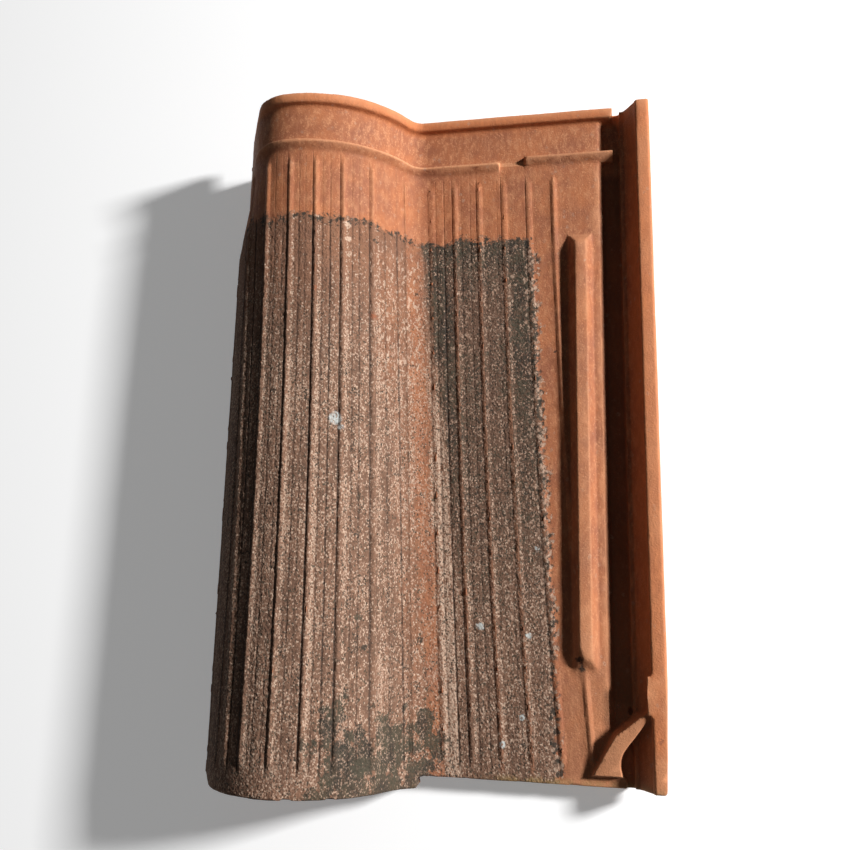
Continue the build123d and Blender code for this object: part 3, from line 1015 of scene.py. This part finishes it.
        # The rained-on face over the clean clay, with the rim, specks, lines, spots and moss on top
        colour = bench.blend(exposed, colour, rained)
        rim_grains = bench.use(self.groups["grains"], place=moved, cover=0.45)
        rim = bench.product(zones["Rim"], rim_grains["Coarse Mask"], up, 0.9)
        colour = bench.blend(rim, colour, colours.soot)
        speck_cover = bench.either(bench.product(growth, 0.03), bench.product(zones["Crust"], 0.40))
        specks = bench.use(self.groups["grains"], place=place, cover=speck_cover)
        speck_colour = bench.blend(specks["Tone"], colours.lichen, colours.washed)
        colour = bench.blend(bench.product(specks["Coarse Mask"], up, 0.8), colour, speck_colour)
        # Rib feet and fine lines in the crevice colour: dirt and painted shade in the grooves
        lines = bench.either(bench.product(ribs["Foot"], bench.opposite(growth, 0.7)), ribs["Fine"])
        line_share = bench.product(lines, bench.math("MULTIPLY_ADD", exposed, 0.8, 0.12), clamp=True)
        colour = bench.blend(line_share, colour, colours.crevice_dirt_and_shade)
        colour = self.paint_spots(bench, place, colour, colours, up)
        moss = bench.product(bench.step(y, 5.0, 0.5), bench.step(x, 165.0, 200.0))
        colour = bench.blend(bench.product(moss, bench.step(patchy, 0.35, 0.55), 0.75), colour, colours.moss)
        # Painted shade: hollows below the head lock darkened towards the hard-fired clay colour where the
        # face stayed covered
        hollow = bench.product(bench.attribute("hollow"), bench.step(y, 405.0, 395.0), 0.45)
        colour = bench.blend(bench.product(hollow, bench.opposite(exposed)), colour, colours.fired)
        worn = bench.product(bench.attribute("worn_edge"), bench.opposite(zones["Exposed"], 0.95), 0.55)
        colour = bench.blend(worn, colour, colours.edge)
        bench.feed(shader.inputs["Base Color"], colour)

        rough = bench.math("MULTIPLY_ADD", exposed, 0.12, 0.76)
        bench.feed(shader.inputs["Roughness"], bench.math("MULTIPLY_ADD", body["Blotch"], 0.08, rough))
        lumpy = bench.product(bench.noise(place, 1.4, 1.2, 1.0), bench.attribute("rained_on"))
        height = bench.math("MULTIPLY_ADD", lumpy, 2.4, body["Height"])
        height = bench.math("MULTIPLY_ADD", lines, -0.8, height)
        self.set_bump(bench, shader, height, 0.35 * MM)
        return material

    def paint_spots(self, bench, place, colour, colours, up):
        """Lays the single spots of lichen and soot over the colour."""
        shift = bench.product(bench.math("SUBTRACT", bench.noise(place, 2.5, 1.0, 3.0, 0.6), 0.5), 4.5)
        flat = bench.vector("MULTIPLY", place, (1, 1, 0))
        grain = bench.step(bench.noise(place, 1.4, 1.0, 2.0, 0.6), 0.36, 0.5)
        for middle, radius, kind in self.spots:
            distance = bench.vector("DISTANCE", flat, (*middle, 0))
            mask = bench.step(bench.math("ADD", distance, shift), radius, radius * 0.5)
            colour = bench.blend(bench.product(mask, grain, up, 0.85), colour, getattr(colours, kind))
        return colour

    def covered_material(self, colours):
        """Underside and lower edges: clay that stayed dry, with dust and fire marks."""
        material, bench, shader, place = self.new_material("covered_clay")
        body = bench.use(self.groups["body"], place=place)
        dust = bench.use(self.groups["grains"], place=place, cover=0.15)
        colour = self.clay_colour(bench, body, colours)
        fire_mark = bench.step(bench.noise(place, 60.0, 1.5, 3.0, 0.6), 0.52, 0.66)
        colour = bench.blend(bench.product(fire_mark, 0.45), colour, colours.weathered)
        colour = bench.blend(bench.product(dust["Mask"], 0.3), colour, colours.washed)
        # Painted shade: hollows of the underside darkened towards the hard-fired clay colour
        colour = bench.blend(bench.product(bench.attribute("hollow"), 0.5), colour, colours.fired)
        bench.feed(shader.inputs["Base Color"], colour)
        bench.feed(shader.inputs["Roughness"], bench.math("MULTIPLY_ADD", body["Blotch"], 0.1, 0.78))
        height = bench.math("MULTIPLY_ADD", dust["Mask"], 0.4, body["Height"])
        self.set_bump(bench, shader, height, 0.3 * MM)
        return material


class ROOFTILE_OT_set_stage(bpy.types.Operator):
    """Set the floor, the lights and the camera"""

    bl_idname = "roof_tile.set_stage"
    bl_label = "Set Stage"

    def execute(self, context):
        settings = context.scene.studio
        deselect_all()
        bpy.ops.mesh.primitive_plane_add(size=FLOOR_SIZE)
        floor = context.object
        floor.name = "floor"
        material = bpy.data.materials.new("pale_floor")
        material.use_nodes = True
        bench = Bench(material.node_tree)
        shader = material.node_tree.nodes["Principled BSDF"]
        bench.feed(shader.inputs["Base Color"], FLOOR_COLOUR)
        bench.feed(shader.inputs["Roughness"], 0.9)
        bench.feed(shader.inputs["Emission Color"], (1, 1, 1))
        rays = bench.add("LightPath").outputs
        seen = bench.either(rays["Is Camera Ray"], rays["Is Glossy Ray"], rays["Is Transmission Ray"])
        bench.feed(shader.inputs["Emission Strength"], bench.product(seen, FLOOR_GLOW))
        floor.data.materials.append(material)

        world = bpy.data.worlds.new("even_sky")
        world.use_nodes = True
        background = world.node_tree.nodes["Background"]
        background.inputs["Color"].default_value = (1, 1, 1, 1)
        background.inputs["Strength"].default_value = settings.sky_strength
        context.scene.world = world

        bpy.ops.object.light_add(type="AREA", location=settings.key_place)
        key = context.object
        key.name = "key_light"
        key.data.energy = settings.key_strength
        key.data.size = settings.key_size
        key.rotation_euler = (-key.location).to_track_quat("-Z", "Y").to_euler()

        bpy.ops.object.camera_add(location=settings.camera_place, rotation=settings.camera_turn)
        camera = context.object
        camera.name = "camera"
        camera.data.lens = settings.lens
        camera.data.sensor_width = SENSOR_WIDTH
        camera.data.clip_start = 0.01
        context.scene.camera = camera
        context.scene.view_settings.view_transform = "Standard"
        return {"FINISHED"}


class ROOFTILE_PT_tools(bpy.types.Panel):
    """Sidebar panel with the tile's steps and settings"""

    bl_label = "Roof Tile"
    bl_idname = "ROOFTILE_PT_tools"
    bl_space_type = "VIEW_3D"
    bl_region_type = "UI"
    bl_category = "Roof Tile"

    def draw(self, context):
        for group, operator in (
            ("tile_body", ROOFTILE_OT_model_body),
            ("clay", ROOFTILE_OT_finish_clay),
            ("studio", ROOFTILE_OT_set_stage),
        ):
            box = self.layout.box()
            settings = getattr(context.scene, group)
            for name in settings.__annotations__:
                box.prop(settings, name)
            box.operator(operator.bl_idname)


CLASSES = (
    BodySettings,
    ClaySettings,
    StudioSettings,
    ROOFTILE_OT_model_body,
    ROOFTILE_OT_finish_clay,
    ROOFTILE_OT_set_stage,
    ROOFTILE_PT_tools,
)


def register():
    for cls in CLASSES:
        bpy.utils.register_class(cls)
    bpy.types.Scene.tile_body = PointerProperty(type=BodySettings)
    bpy.types.Scene.clay = PointerProperty(type=ClaySettings)
    bpy.types.Scene.studio = PointerProperty(type=StudioSettings)


def unregister():
    del bpy.types.Scene.studio
    del bpy.types.Scene.clay
    del bpy.types.Scene.tile_body
    for cls in reversed(CLASSES):
        bpy.utils.unregister_class(cls)


def main():
    register()
    bpy.ops.roof_tile.model_body()
    bpy.ops.roof_tile.finish_clay()
    bpy.ops.roof_tile.set_stage()


if __name__ == "__main__":
    main()
